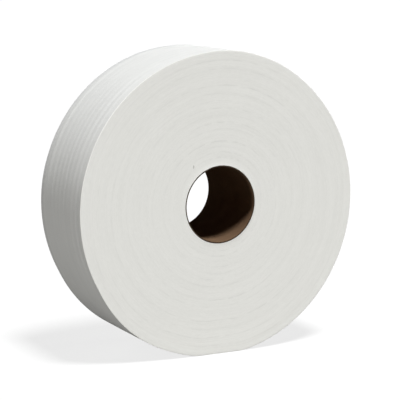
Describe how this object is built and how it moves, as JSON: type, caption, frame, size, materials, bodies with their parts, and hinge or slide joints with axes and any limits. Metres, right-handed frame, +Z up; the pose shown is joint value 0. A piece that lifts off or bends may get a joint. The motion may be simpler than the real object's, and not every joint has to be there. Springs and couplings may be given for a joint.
{
  "type": "jumbo toilet paper roll",
  "caption": "Wide jumbo roll of plain white tissue wound on a cardboard tube, standing on a small flat spot pressed into its rim.",
  "frame": {"origin": "centre of the bore of the cardboard tube, half way along the roll", "axes": "+Y along the axis of the roll, away from the end that the picture shows; +Z up from the flat spot; +X to the right as seen from that end"},
  "size_m": [0.307, 0.095, 0.3047],
  "materials": {
    "tissue": "matte",
    "card": "matte"
  },
  "bodies": {
    "root": {"paper_roll": "tissue", "core": "card"}
  },
  "joints": []
}
